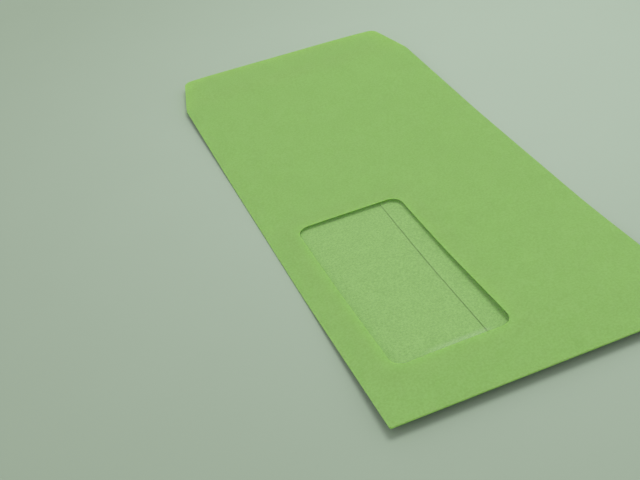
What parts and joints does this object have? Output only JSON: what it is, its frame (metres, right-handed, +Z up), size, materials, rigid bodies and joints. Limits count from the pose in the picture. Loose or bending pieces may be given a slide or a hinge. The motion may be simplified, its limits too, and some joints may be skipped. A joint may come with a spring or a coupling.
{
  "type": "window envelope",
  "caption": "Pocket envelope folded from one sheet of paper, with a seal flap at its short end and a film-covered address window.",
  "frame": {"origin": "middle of the box round the whole envelope, on the surface that it lies on", "axes": "+X across towards the right fold, seen from the front; +Y along the body, from the bottom fold to the seal flap; +Z up, out of the front that carries the window"},
  "size_m": [0.12, 0.2606, 0.0051],
  "materials": {
    "envelope_paper": "matte",
    "window_film": "clear gloss",
    "window_gum": "satin",
    "seam_gum": "satin",
    "bottom_gum": "satin",
    "seal_gum": "satin"
  },
  "bodies": {
    "root": {"envelope_paper": "envelope_paper", "window_film": "window_film", "window_gum": "window_gum", "seam_gum": "seam_gum", "bottom_gum": "bottom_gum", "seal_gum": "seal_gum"}
  },
  "joints": []
}
